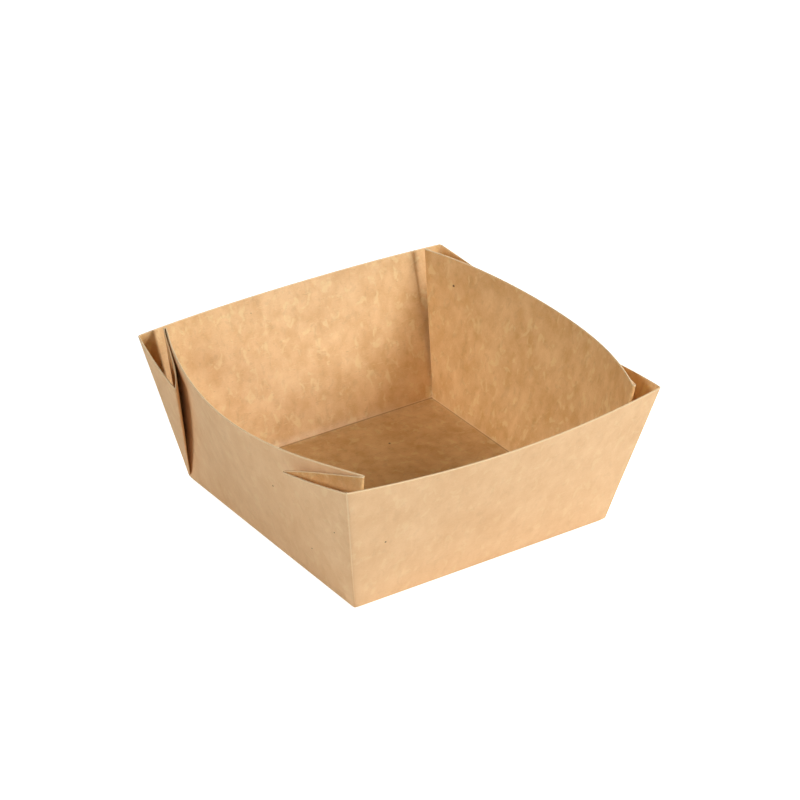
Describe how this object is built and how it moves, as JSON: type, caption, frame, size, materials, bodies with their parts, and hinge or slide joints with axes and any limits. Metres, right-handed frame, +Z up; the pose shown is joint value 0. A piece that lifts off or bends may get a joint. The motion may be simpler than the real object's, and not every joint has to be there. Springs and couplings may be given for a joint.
{
  "type": "snack tray",
  "caption": "Open-topped kraft board snack tray folded from one sheet: square base, bowed flaring walls and corner webs folded flat against the side walls.",
  "frame": {"origin": "middle of the square base, on the surface that the tray stands on", "axes": "+Z up, X along the front and back walls, front wall towards -Y; the webs lie against the two side walls at -X and +X"},
  "size_m": [0.133, 0.1358, 0.0545],
  "materials": {
    "kraft_board": "matte"
  },
  "bodies": {
    "root": {"tray": "kraft_board"}
  },
  "joints": []
}
